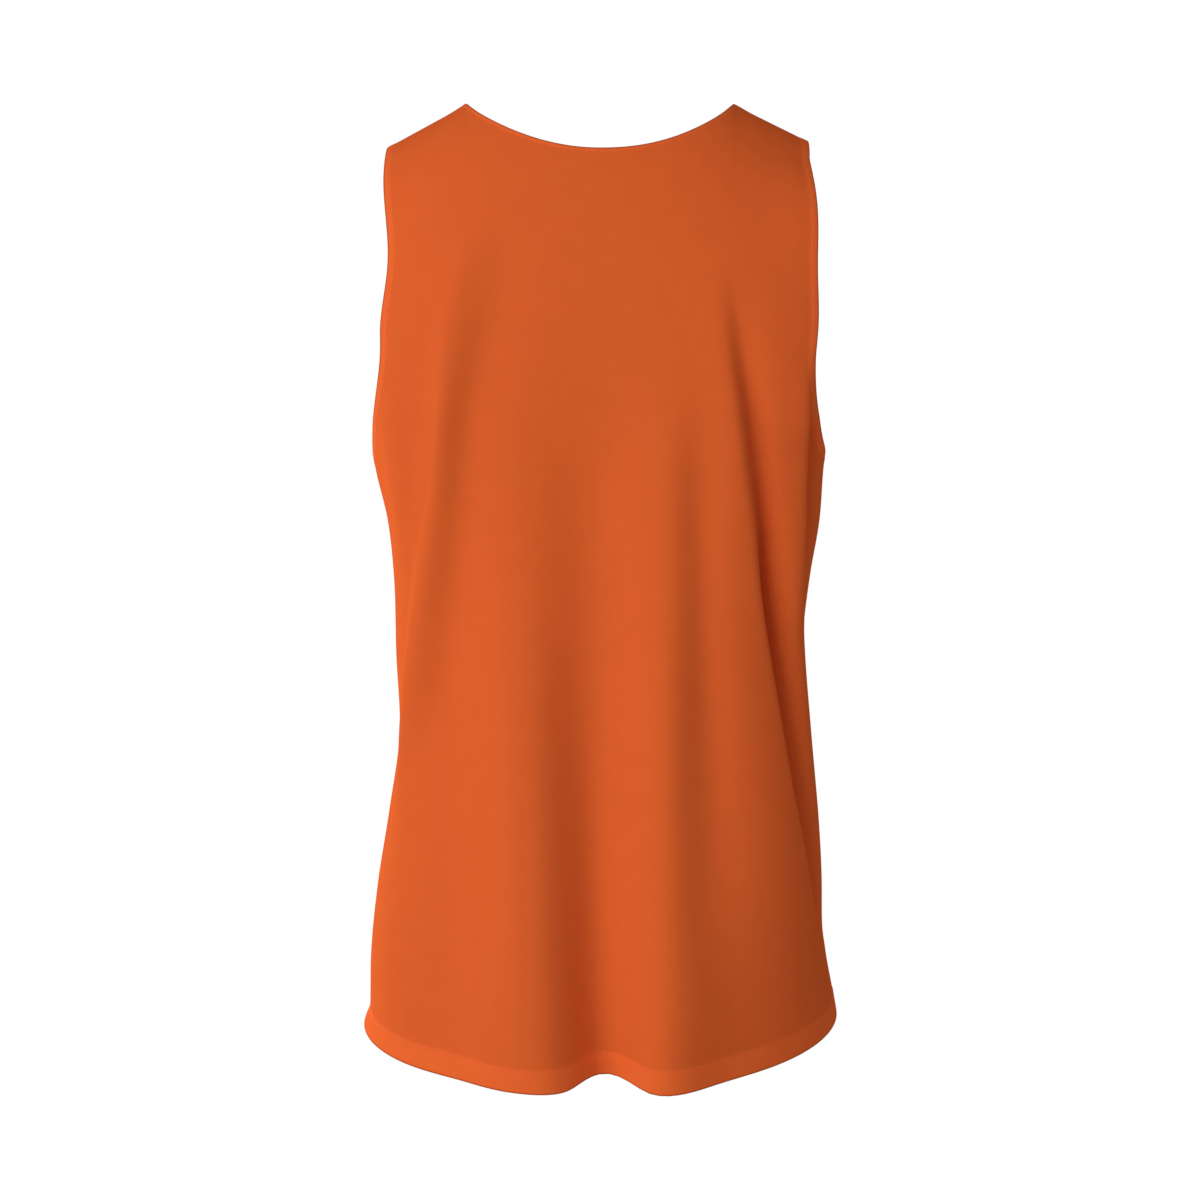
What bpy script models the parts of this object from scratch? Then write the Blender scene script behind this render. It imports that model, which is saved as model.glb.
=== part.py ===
"""Reversible jersey: a sleeveless sports top that keeps the shape of being worn, with nobody in it.

Metres, +Z up. The front faces -Y, the back faces +Y and the wearer's left is +X. The origin lies
midway between the two high shoulder points, where the wearer's shoulders hold the jersey up.
Two panels of knitted cloth are cut and sewn: back and front, each with its hem turned up. They
meet at the side seams and the shoulder seams. Neckline, armholes and hem are open.
"""
from collections import namedtuple

import bpy
import numpy as np

MM = 0.001

# Driving sizes
WALL = 2.0 * MM               # thickness of a panel
SEAM_GAP = 0.3 * MM           # between two panels along a seam
HEM_TURN = 16 * MM            # height of the turned-up hem
HEM_PLY = 1.0 * MM            # what the turn-up adds to the wall, on its inside
HEM_Z = -0.703                # hem at the centre of a panel
HEM_LIFT_LEFT = 5 * MM        # how much higher the hem runs at the left side seam
HEM_LIFT_RIGHT = 14 * MM      # and at the right one
ARMPIT_Z = -0.262             # foot of the armholes
BLADE_Z = -0.165              # fullest level of the shoulder blades and the chest
SHOULDER_TIP_Z = -0.030       # outer end of the shoulder seams
NECK_HALF = 0.098             # half the neck opening, at the shoulder seams
SHOULDER_SLOPE_LEFT = 0.53    # fall of the left shoulder seam for each metre outwards
SHOULDER_SLOPE_RIGHT = 0.48   # and of the right one
NECK_ARCH = 24 * MM           # rise of the form between the high shoulder points, inside the neck
NECK_PEAK = 3 * MM            # the cloth stands up by this much at the high shoulder points,
NECK_PEAK_REACH = 8 * MM      # and eases off over this much on both sides of them
BACK_NECK_DROP = 33 * MM
FRONT_NECK_DROP = 112 * MM
NECK_POWER_LEFT = 2.0         # form of the neckline's left half: 2 is a parabola, more is squarer
NECK_POWER_RIGHT = 2.25       # and of its right half
ARMHOLE_CUT = 0.80            # share of a section's depth that an armhole's edge curves in by
SHARP_ANGLE = np.radians(60)  # the cloth's rims turn more sharply than this, its folds less

NECK_CELLS = 24               # grid cells across a neckline
SHOULDER_CELLS = 14           # and along each shoulder seam
BODY_ROWS = 20                # grid rows from the hem's stitch line to the armpits,
ARM_ROWS = 7                  # from there to the shoulder blades,
YOKE_ROWS = 8                 # and on to the shoulders and the neckline

# Half widths and depths of the torso, and the power of its section: 2 is an ellipse, more is squarer.
# Up to the armpits the side seam runs at the half width; above them the armholes cut the sides away.
Section = namedtuple("Section", "z left right back front power")
SECTIONS = (
    Section(-0.720, 0.1875, 0.1890, 0.143, 0.128, 2.10),
    Section(-0.690, 0.1830, 0.1850, 0.142, 0.127, 2.15),
    Section(-0.640, 0.1771, 0.1755, 0.139, 0.125, 2.60),
    Section(-0.580, 0.1700, 0.1712, 0.135, 0.122, 3.10),
    Section(-0.520, 0.1597, 0.1655, 0.129, 0.119, 3.40),
    Section(-0.460, 0.1510, 0.1590, 0.123, 0.116, 3.50),
    Section(-0.400, 0.1529, 0.1554, 0.117, 0.112, 3.40),
    Section(-0.340, 0.1540, 0.1578, 0.112, 0.110, 3.40),
    Section(-0.300, 0.1580, 0.1640, 0.109, 0.109, 3.40),
    Section(-0.262, 0.1665, 0.1650, 0.106, 0.108, 3.40),
    Section(-0.245, 0.1688, 0.1659, 0.105, 0.108, 3.50),
    Section(-0.220, 0.1734, 0.1701, 0.104, 0.108, 3.70),
    Section(-0.165, 0.1778, 0.1774, 0.102, 0.108, 4.00),
    Section(-0.110, 0.1714, 0.1751, 0.101, 0.108, 4.00),
    Section(-0.050, 0.1763, 0.1755, 0.101, 0.108, 4.00),
    Section(-0.030, 0.1755, 0.1746, 0.101, 0.108, 4.00),
)

# A fold is a ridge (height above 0) or a trough (below 0) of one panel. "across" is measured along the
# cloth from the panel's centre line, towards the wearer's left; "left" and "right" are the reach of
# its flanks, and a flank's power is its form: 2 is a round fall, more is a flat top with a steep edge.
Fold = namedtuple("Fold", "panel left_power right_power rows")
Row = namedtuple("Row", "z across height left right")
FOLDS = (
    # flute that hangs from the left shoulder blade
    Fold("back", 2, 2, (
        Row(-0.240, 0.060, 0.000, 0.040, 0.028),
        Row(-0.350, 0.060, 0.002, 0.040, 0.028),
        Row(-0.430, 0.058, 0.009, 0.038, 0.028),
        Row(-0.500, 0.057, 0.014, 0.038, 0.027),
        Row(-0.570, 0.055, 0.017, 0.038, 0.027),
        Row(-0.640, 0.054, 0.014, 0.040, 0.027),
        Row(-0.700, 0.054, 0.009, 0.042, 0.027),
    )),
    # trough down the middle, which ends in a deep notch of the hem
    Fold("back", 2, 2, (
        Row(-0.120, 0.000, 0.000, 0.050, 0.050),
        Row(-0.200, 0.004, -0.003, 0.045, 0.040),
        Row(-0.280, 0.004, -0.008, 0.034, 0.026),
        Row(-0.350, 0.003, -0.010, 0.030, 0.024),
        Row(-0.430, 0.002, -0.009, 0.025, 0.022),
        Row(-0.500, 0.001, -0.008, 0.023, 0.022),
        Row(-0.570, 0.000, -0.007, 0.022, 0.020),
        Row(-0.640, -0.003, -0.014, 0.022, 0.020),
        Row(-0.703, -0.005, -0.041, 0.022, 0.020),
    )),
    # flute right of the middle
    Fold("back", 2, 2, (
        Row(-0.180, -0.050, 0.000, 0.020, 0.018),
        Row(-0.280, -0.048, 0.004, 0.022, 0.018),
        Row(-0.350, -0.047, 0.006, 0.022, 0.018),
        Row(-0.430, -0.046, 0.010, 0.024, 0.020),
        Row(-0.500, -0.045, 0.012, 0.024, 0.021),
        Row(-0.570, -0.046, 0.013, 0.025, 0.022),
        Row(-0.700, -0.050, 0.013, 0.024, 0.034),
    )),
    # hollow between that flute and the long crease
    Fold("back", 2, 2, (
        Row(-0.200, -0.068, 0.000, 0.013, 0.014),
        Row(-0.280, -0.070, -0.004, 0.013, 0.014),
        Row(-0.350, -0.073, -0.004, 0.013, 0.014),
        Row(-0.430, -0.077, -0.003, 0.014, 0.016),
        Row(-0.500, -0.082, -0.002, 0.016, 0.018),
        Row(-0.570, -0.088, 0.000, 0.016, 0.020),
    )),
    # hollow beside the ridge of the left armhole
    Fold("back", 2, 2, (
        Row(-0.170, 0.092, 0.000, 0.020, 0.024),
        Row(-0.210, 0.092, -0.003, 0.018, 0.024),
        Row(-0.280, 0.096, -0.004, 0.018, 0.024),
        Row(-0.350, 0.100, -0.005, 0.020, 0.024),
        Row(-0.430, 0.106, -0.005, 0.020, 0.024),
        Row(-0.500, 0.112, -0.004, 0.022, 0.024),
        Row(-0.600, 0.120, 0.000, 0.022, 0.024),
    )),
    # ridge from the left armhole down to the waist
    Fold("back", 2, 2, (
        Row(-0.140, 0.104, 0.000, 0.009, 0.014),
        Row(-0.175, 0.106, 0.003, 0.009, 0.014),
        Row(-0.210, 0.110, 0.006, 0.009, 0.014),
        Row(-0.280, 0.118, 0.009, 0.009, 0.014),
        Row(-0.350, 0.130, 0.010, 0.009, 0.014),
        Row(-0.425, 0.144, 0.010, 0.010, 0.014),
        Row(-0.470, 0.158, 0.006, 0.010, 0.014),
        Row(-0.520, 0.172, 0.000, 0.010, 0.014),
    )),
    # bulge of the cloth at the left armpit
    Fold("back", 2, 2, (
        Row(-0.180, 0.148, 0.000, 0.012, 0.012),
        Row(-0.230, 0.152, 0.004, 0.012, 0.012),
        Row(-0.300, 0.150, 0.004, 0.012, 0.012),
        Row(-0.350, 0.152, 0.000, 0.012, 0.012),
    )),
    # hollow outside the long crease from the right armhole to the hem, with a steep inner side
    Fold("back", 2, 2, (
        Row(-0.120, -0.100, 0.000, 0.012, 0.020),
        Row(-0.173, -0.106, -0.006, 0.012, 0.020),
        Row(-0.208, -0.110, -0.010, 0.012, 0.018),
        Row(-0.280, -0.121, -0.014, 0.012, 0.018),
        Row(-0.350, -0.132, -0.015, 0.012, 0.018),
        Row(-0.425, -0.147, -0.015, 0.013, 0.019),
        Row(-0.495, -0.164, -0.013, 0.015, 0.021),
        Row(-0.567, -0.194, -0.008, 0.020, 0.026),
        Row(-0.640, -0.215, 0.000, 0.022, 0.028),
    )),
    # short fold under the right armhole
    Fold("back", 2, 4, (
        Row(-0.150, -0.134, 0.000, 0.014, 0.016),
        Row(-0.210, -0.137, 0.004, 0.014, 0.015),
        Row(-0.280, -0.140, 0.006, 0.014, 0.014),
        Row(-0.320, -0.142, 0.005, 0.014, 0.014),
        Row(-0.370, -0.146, 0.000, 0.014, 0.014),
    )),
    # flutes that hang from the chest
    Fold("front", 2, 2, (
        Row(-0.240, 0.070, 0.000, 0.030, 0.040),
        Row(-0.400, 0.072, 0.005, 0.030, 0.036),
        Row(-0.570, 0.068, 0.011, 0.030, 0.030),
        Row(-0.700, 0.064, 0.011, 0.030, 0.030),
    )),
    Fold("front", 2, 2, (
        Row(-0.200, 0.014, 0.000, 0.036, 0.036),
        Row(-0.330, 0.012, -0.005, 0.030, 0.030),
        Row(-0.500, 0.010, -0.009, 0.026, 0.026),
        Row(-0.700, 0.013, -0.018, 0.024, 0.024),
    )),
    Fold("front", 2, 2, (
        Row(-0.250, -0.046, 0.000, 0.026, 0.026),
        Row(-0.420, -0.044, 0.007, 0.026, 0.024),
        Row(-0.570, -0.040, 0.011, 0.026, 0.024),
        Row(-0.700, -0.040, 0.012, 0.026, 0.028),
    )),
    Fold("front", 2, 2, (
        Row(-0.420, -0.084, 0.000, 0.020, 0.022),
        Row(-0.570, -0.088, -0.005, 0.020, 0.022),
        Row(-0.700, -0.090, -0.010, 0.020, 0.024),
    )),
    # ridges of the front from the armholes towards the waist
    Fold("front", 3, 2, (
        Row(-0.150, 0.106, 0.000, 0.012, 0.018),
        Row(-0.220, 0.114, 0.007, 0.012, 0.018),
        Row(-0.300, 0.124, 0.010, 0.012, 0.020),
        Row(-0.400, 0.138, 0.009, 0.014, 0.022),
        Row(-0.520, 0.158, 0.000, 0.016, 0.024),
    )),
    Fold("front", 2, 3, (
        Row(-0.140, -0.086, 0.000, 0.020, 0.022),
        Row(-0.220, -0.094, 0.008, 0.020, 0.022),
        Row(-0.300, -0.102, 0.011, 0.020, 0.026),
        Row(-0.400, -0.112, 0.011, 0.022, 0.032),
        Row(-0.500, -0.126, 0.008, 0.024, 0.040),
        Row(-0.600, -0.140, 0.000, 0.026, 0.050),
    )),
)


def through(z, rows, column):
    """Value of a table's column at height z: a smooth curve through the rows, level past both ends."""
    rows = sorted(rows)
    stations = np.array([row.z for row in rows])
    values = np.array([getattr(row, column) for row in rows])
    slopes = np.gradient(values, stations)
    z = np.clip(z, stations[0], stations[-1])
    start = np.clip(np.searchsorted(stations, z, side="right") - 1, 0, len(rows) - 2)
    span = stations[start + 1] - stations[start]
    u = (z - stations[start]) / span
    return ((2 * u**3 - 3 * u**2 + 1) * values[start] + (u**3 - 2 * u**2 + u) * span * slopes[start]
            + (3 * u**2 - 2 * u**3) * values[start + 1] + (u**3 - u**2) * span * slopes[start + 1])


def level(place, z, side, cut):
    """Points of the torso at one level, from the wearer's right edge (-1) to the left edge (1). The
    section is a superellipse, whose ends the armholes cut off at the share "cut" of its depth."""
    half = np.where(place > 0, through(z, SECTIONS, "left"), through(z, SECTIONS, "right"))
    power = through(z, SECTIONS, "power")
    x = place * (1 - cut**power) ** (1 / power)
    return x * half, through(z, SECTIONS, side) * (1 - np.abs(x) ** power) ** (1 / power)


def columns(side):
    """Places of the grid's columns: the sines of even angles, with one column on each high shoulder
    point and one on the centre line."""
    tip_half, _ = level(1.0, SHOULDER_TIP_Z, side, ARMHOLE_CUT)
    neck_angle = np.arcsin(NECK_HALF / tip_half)
    shoulder = np.linspace(neck_angle, np.pi / 2, SHOULDER_CELLS + 1)[1:]
    neck = np.linspace(-neck_angle, neck_angle, NECK_CELLS + 1)
    return np.sin(np.concatenate([-shoulder[::-1], neck, shoulder]))[None, :]


def roof(x):
    """Height of the shoulder line: an even fall outwards from the high shoulder points, a small peak on
    each of them, and between them an arch that the neckline cuts short."""
    out = np.abs(x) - NECK_HALF
    slope = np.where(x > 0, SHOULDER_SLOPE_LEFT, SHOULDER_SLOPE_RIGHT)
    line = np.where(out > 0, -slope * out, NECK_ARCH * (1 - (x / NECK_HALF) ** 2))
    return line + neck_peak(x)


def neck_peak(x):
    """How much the cloth stands up near the high shoulder points: a bell around each."""
    return NECK_PEAK * np.exp(-((np.abs(x) - NECK_HALF) / NECK_PEAK_REACH) ** 2)


def smooth_panel(side, neck_drop):
    """Grid of a panel's points before folds: rows from hem to top, columns from right to left.
    Up to the shoulder blades the rows are level sections; the yoke above them rises to the shoulder
    line in quarter ellipses, which the neckline cuts short."""
    place = columns(side)
    hem = HEM_Z + np.where(place > 0, HEM_LIFT_LEFT, HEM_LIFT_RIGHT) * place**2
    climb = np.linspace(0, 1, BODY_ROWS + 1)[:, None]
    body_z = hem + HEM_TURN + (ARMPIT_Z - hem - HEM_TURN) * climb
    turn = np.linspace(0, np.pi / 2, ARM_ROWS + 1)[1:, None]
    arm_z = np.repeat(BLADE_Z - (BLADE_Z - ARMPIT_Z) * np.cos(turn), place.size, axis=1)
    level_z = np.concatenate([hem, body_z, arm_z])
    cut = np.concatenate([np.zeros((BODY_ROWS + 2, 1)), ARMHOLE_CUT * np.sin(turn)])
    x, y = level(place, level_z, side, cut)

    share = np.linspace(0, 1, YOKE_ROWS + 1)[1:, None]
    edge_z = BLADE_Z + (SHOULDER_TIP_Z - BLADE_Z) * np.sin(share * np.pi / 2)
    yoke_x, yoke_y = level(place, edge_z, side, ARMHOLE_CUT)
    crown = roof(yoke_x[-1])
    across_neck = np.minimum(np.abs(yoke_x[-1]) / NECK_HALF, 1)
    neck_power = np.where(place > 0, NECK_POWER_LEFT, NECK_POWER_RIGHT)
    neckline = neck_peak(yoke_x[-1]) - neck_drop * (1 - across_neck**neck_power)
    top = np.where(across_neck < 1, neckline, crown)
    angle = share * np.arcsin(np.minimum((top - BLADE_Z) / (crown - BLADE_Z), 1))
    yoke_z = BLADE_Z + (crown - BLADE_Z) * np.sin(angle)
    return np.stack([np.concatenate([x, yoke_x]), np.concatenate([y, yoke_y * np.cos(angle)]),
                     np.concatenate([level_z, yoke_z])], axis=-1)


def normals(points):
    """Unit normals out of a back panel's grid. Along the seams they stay square to the seam's plane."""
    normal = np.cross(np.gradient(points, axis=0), np.gradient(points, axis=1))
    normal[:BODY_ROWS + 2, [0, -1], 1] = 0
    normal[-1, :SHOULDER_CELLS + 1, 1] = 0
    normal[-1, -SHOULDER_CELLS - 1:, 1] = 0
    return normal / np.linalg.norm(normal, axis=-1, keepdims=True)


def relief(points, side):
    """How far the folds lift the cloth at each point of a smooth panel."""
    steps = np.linalg.norm(np.diff(points, axis=1), axis=-1)
    along = np.concatenate([np.zeros((len(points), 1)), np.cumsum(steps, axis=1)], axis=1)
    middle = points.shape[1] // 2
    along -= along[:, middle:middle + 1]
    z = points[..., 2]
    lift = np.zeros(z.shape)
    for fold in FOLDS:
        if fold.panel != side:
            continue
        away = along - through(z, fold.rows, "across")
        flank = np.where(away > 0, through(z, fold.rows, "left"), through(z, fold.rows, "right"))
        power = np.where(away > 0, fold.left_power, fold.right_power)
        lift += through(z, fold.rows, "height") * np.exp(-np.abs(away / flank) ** power)
    return lift


def panel_faces(rows, cols):
    """Quads of a closed wall whose outer grid comes first and inner grid second, as a back panel."""
    index = np.arange(2 * rows * cols).reshape(2, rows, cols)
    outer, inner = index
    quads = [np.stack([outer[:-1, :-1], outer[1:, :-1], outer[1:, 1:], outer[:-1, 1:]], axis=-1),
             np.stack([inner[:-1, :-1], inner[:-1, 1:], inner[1:, 1:], inner[1:, :-1]], axis=-1)]
    loop = np.concatenate([index[:, 0, :-1], index[:, :-1, -1], index[:, -1, :0:-1], index[:, :0:-1, 0]],
                          axis=1)
    ahead = np.roll(loop, -1, axis=1)
    rim = np.stack([loop[0], ahead[0], ahead[1], loop[1]], axis=-1)
    return np.concatenate([quad.reshape(-1, 4) for quad in quads] + [rim])


def cloth(name, colour):
    """Plain knitted polyester."""
    material = bpy.data.materials.new(name)
    material.use_nodes = True
    shader = material.node_tree.nodes["Principled BSDF"]
    shader.inputs["Base Color"].default_value = (*colour, 1)
    shader.inputs["Roughness"].default_value = 0.6
    shader.inputs["Metallic"].default_value = 0
    return material


def add_panel(name, side, neck_drop, material):
    """A panel as a closed wall: the folded outer surface, and an inner one a wall's thickness in.
    A front panel is a back panel's form mirrored to -Y."""
    smooth = smooth_panel(side, neck_drop)
    outer = smooth + relief(smooth, side)[..., None] * normals(smooth)
    thickness = np.full(len(outer), WALL)
    thickness[0] = WALL + HEM_PLY
    inner = outer - thickness[:, None, None] * normals(outer)
    facing = 1 if side == "back" else -1
    points = np.concatenate([outer.reshape(-1, 3), inner.reshape(-1, 3)])
    points[:, 1] = facing * (points[:, 1] + SEAM_GAP / 2)
    faces = panel_faces(*outer.shape[:2])[:, ::facing]
    mesh = bpy.data.meshes.new(name)
    mesh.from_pydata(points.tolist(), [], faces.tolist())
    mesh.materials.append(material)
    mesh.shade_smooth()
    mesh.set_sharp_from_angle(angle=SHARP_ANGLE)
    bpy.context.collection.objects.link(bpy.data.objects.new(name, mesh))


for item in list(bpy.data.objects):
    bpy.data.objects.remove(item)

add_panel("back_panel", "back", BACK_NECK_DROP, cloth("back cloth", (0.62, 0.11, 0.02)))
add_panel("front_panel", "front", FRONT_NECK_DROP, cloth("front cloth", (0.60, 0.10, 0.02)))
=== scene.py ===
from collections import namedtuple

import bpy
import numpy as np
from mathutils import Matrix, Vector


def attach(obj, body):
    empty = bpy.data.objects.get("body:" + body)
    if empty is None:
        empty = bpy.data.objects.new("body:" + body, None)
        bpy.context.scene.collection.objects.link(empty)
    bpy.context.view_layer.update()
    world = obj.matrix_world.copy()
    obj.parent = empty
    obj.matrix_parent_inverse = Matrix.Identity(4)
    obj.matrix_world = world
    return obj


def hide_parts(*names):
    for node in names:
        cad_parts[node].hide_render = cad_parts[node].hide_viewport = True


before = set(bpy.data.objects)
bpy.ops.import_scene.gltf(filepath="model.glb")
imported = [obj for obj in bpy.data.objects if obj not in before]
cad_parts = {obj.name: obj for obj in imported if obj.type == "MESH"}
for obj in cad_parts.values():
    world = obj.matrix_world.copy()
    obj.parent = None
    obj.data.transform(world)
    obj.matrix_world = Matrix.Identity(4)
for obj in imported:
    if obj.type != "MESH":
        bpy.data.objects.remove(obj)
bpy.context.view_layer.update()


# ---- Back panel ----
# One piece of smooth polyester knit, cut with a shallow neckline and deep armholes and worn over the
# back. Its hem is turned up 19 mm and sewn down; neckline and armholes have narrow turned edges.
MM = 0.001
SEAM_GAP = 0.1 * MM           # between two panels along a seam
CLOTH = 1.0 * MM              # thickness of the knit
WALL_INSET = 0.5 * MM         # the knit lies this far inside the outer face of the form,
EDGE_INSET = 0.9 * MM         # and neckline, armholes and hem this far inside its edges
HEM_Z = -0.703                # hem at the centre of a panel
HEM_LIFT_LEFT = 5 * MM        # how much higher the hem runs at the left side seam
HEM_LIFT_RIGHT = 14 * MM      # and at the right one
HEM_NOTCH = 5.5 * MM          # how much higher it runs in the trough down the middle of the back,
NOTCH_PLACE = -0.03           # around this place, from -1 at the right side seam to 1 at the left one,
NOTCH_REACH = 0.13            # and this far to both sides of it, in the same measure
HEM_TURN = 19 * MM            # height of the turned-up hem
ARM_TURN = 7 * MM             # width of the turned edges of the armholes
NECK_TURN = 3.5 * MM          # and of the neckline
SEAM_ALLOWANCE = 6 * MM       # width of the plies that lie under a panel beside its seams
TURN_STEP = 0.35 * MM         # a turned ply ends over about this width,
TURN_RISE = 0.35 * MM         # lifts the cloth by this much
TURN_PLY = 0.7 * MM           # and adds this to its thickness
SEAM_PLY = 0.5 * MM           # what the plies beside a seam add to the thickness
SEAM_ROLL = 0.7 * MM          # how far the cloth rolls in at a seam,
SEAM_ROLL_WIDTH = 1.6 * MM    # and over which width
HEM_SEWN = 17 * MM            # the row of stitches above the hem's edge,
ARM_SEWN = 6.0 * MM           # inside the armholes' edges
NECK_SEWN = 2.8 * MM          # and inside the neckline's edge
DENT = 0.30 * MM              # how deep the stitches dent the cloth,
HEM_DENT = 1.2 * MM           # and half the width of the dent at the hem,
ARM_DENT = 1.0 * MM           # the armholes
NECK_DENT = 0.8 * MM          # and the neckline
EDGE_EASE = 6 * MM            # how far the inset of an edge is felt in the cloth
ARM_EASE = 12 * MM            # height over which the armholes' inset begins above the armpits
PAINTED_SHADE_WIDTH = 0.9 * MM          # width of the painted shade, a dark line where a turned edge folds over,
PAINTED_BEND_SHADE = 4                # its strength, where the lighter colour of double cloth has 1,
PAINTED_HEM_HIGHLIGHT = 0.6          # and the strength of the painted highlight, a pale line along the top of the turned hem
ARMPIT_Z = -0.262             # foot of the armholes
BLADE_Z = -0.165              # fullest level of the shoulder blades and the chest
SHOULDER_TIP_Z = -0.030       # outer end of the shoulder seams
NECK_HALF = 0.098             # half the neck opening, at the shoulder seams
SHOULDER_SLOPE_LEFT = 0.53    # fall of the left shoulder seam for each metre outwards
SHOULDER_SLOPE_RIGHT = 0.48   # and of the right one
NECK_ARCH = 24 * MM           # rise of the form between the high shoulder points, inside the neck
NECK_PEAK = 1.2 * MM          # the cloth stands up by this much at the high shoulder points,
NECK_PEAK_REACH = 8 * MM      # and eases off over this much on both sides of them
PEAK_FADE = 10                # and as this power of the share of the way up the yoke
BACK_NECK_DROP = 33 * MM      # depth of the neckline below the high shoulder points
NECK_POWER_LEFT = 2.0         # form of the neckline's left half: 2 is a parabola, more is squarer
NECK_POWER_RIGHT = 2.25       # and of its right half
ARMHOLE_CUT = 0.80            # share of a section's depth that an armhole's edge curves in by

HEM_ROWS = 16                 # grid rows in the turned hem and just above it,
BODY_ROWS = 108               # from there to the armpits,
ARM_ROWS = 36                 # on to the shoulder blades,
YOKE_ROWS = 60                # and up to the shoulders and the neckline
NECK_CELLS = 76               # grid cells across a neckline
SHOULDER_CELLS = 64           # and along each shoulder seam
HEM_ZONE = 24 * MM            # height of the rows that are set close for the hem
CROWDING = 0.4                # how close the columns lie along the long crease, as a share of even ones
ARM_CROWDING = 0.75           # power by which the rows are spread round the foot of an armhole,
NECK_CROWDING = 1.5           # and by which they crowd together at the neckline
NEAR_ARM = 50                 # columns beside an armhole that its edge is felt in,
BELOW_ARM = 8                 # and rows below its foot
NEAR_NECK = 24                # rows below the neckline that its edge is felt in
FAR = 0.1                     # distance that stands for all at which an edge isn't felt

# Half widths and depths of the torso at its levels, and the power of its section: 2 is an ellipse and
# more is squarer. Above the armpits the armholes cut the sides away.
Section = namedtuple("Section", "z left right back front power")
SECTIONS = (
    Section(-0.720, 0.1875, 0.1890, 0.143, 0.128, 2.10),
    Section(-0.698, 0.1842, 0.1860, 0.142, 0.127, 2.13),
    Section(-0.686, 0.1796, 0.1840, 0.142, 0.127, 2.19),
    Section(-0.671, 0.1786, 0.1812, 0.141, 0.126, 2.32),
    Section(-0.640, 0.1771, 0.1750, 0.139, 0.125, 2.60),
    Section(-0.580, 0.1700, 0.1678, 0.135, 0.122, 3.10),
    Section(-0.520, 0.1597, 0.1610, 0.129, 0.119, 3.40),
    Section(-0.460, 0.1510, 0.1550, 0.123, 0.116, 3.50),
    Section(-0.400, 0.1529, 0.1522, 0.117, 0.112, 3.40),
    Section(-0.340, 0.1540, 0.1540, 0.112, 0.110, 3.40),
    Section(-0.300, 0.1580, 0.1575, 0.109, 0.109, 3.40),
    Section(-0.262, 0.1665, 0.1580, 0.106, 0.108, 3.40),
    Section(-0.245, 0.1688, 0.1590, 0.105, 0.108, 3.50),
    Section(-0.220, 0.1734, 0.1655, 0.104, 0.108, 3.70),
    Section(-0.165, 0.1778, 0.1719, 0.102, 0.108, 4.00),
    Section(-0.110, 0.1714, 0.1691, 0.101, 0.108, 4.00),
    Section(-0.050, 0.1772, 0.1715, 0.101, 0.108, 4.00),
    Section(-0.030, 0.1775, 0.1740, 0.101, 0.108, 4.00),
)

# A fold is a ridge (height above 0) or a trough (below 0) along a panel. "across" is measured along
# the cloth from the centre line towards the wearer's left; "left" and "right" are the reach of its
# flanks, and a flank's power is its form: 2 is a round fall, more is a flat top with a steep edge.
Fold = namedtuple("Fold", "left_power right_power rows")
Row = namedtuple("Row", "z across height left right")

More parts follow.
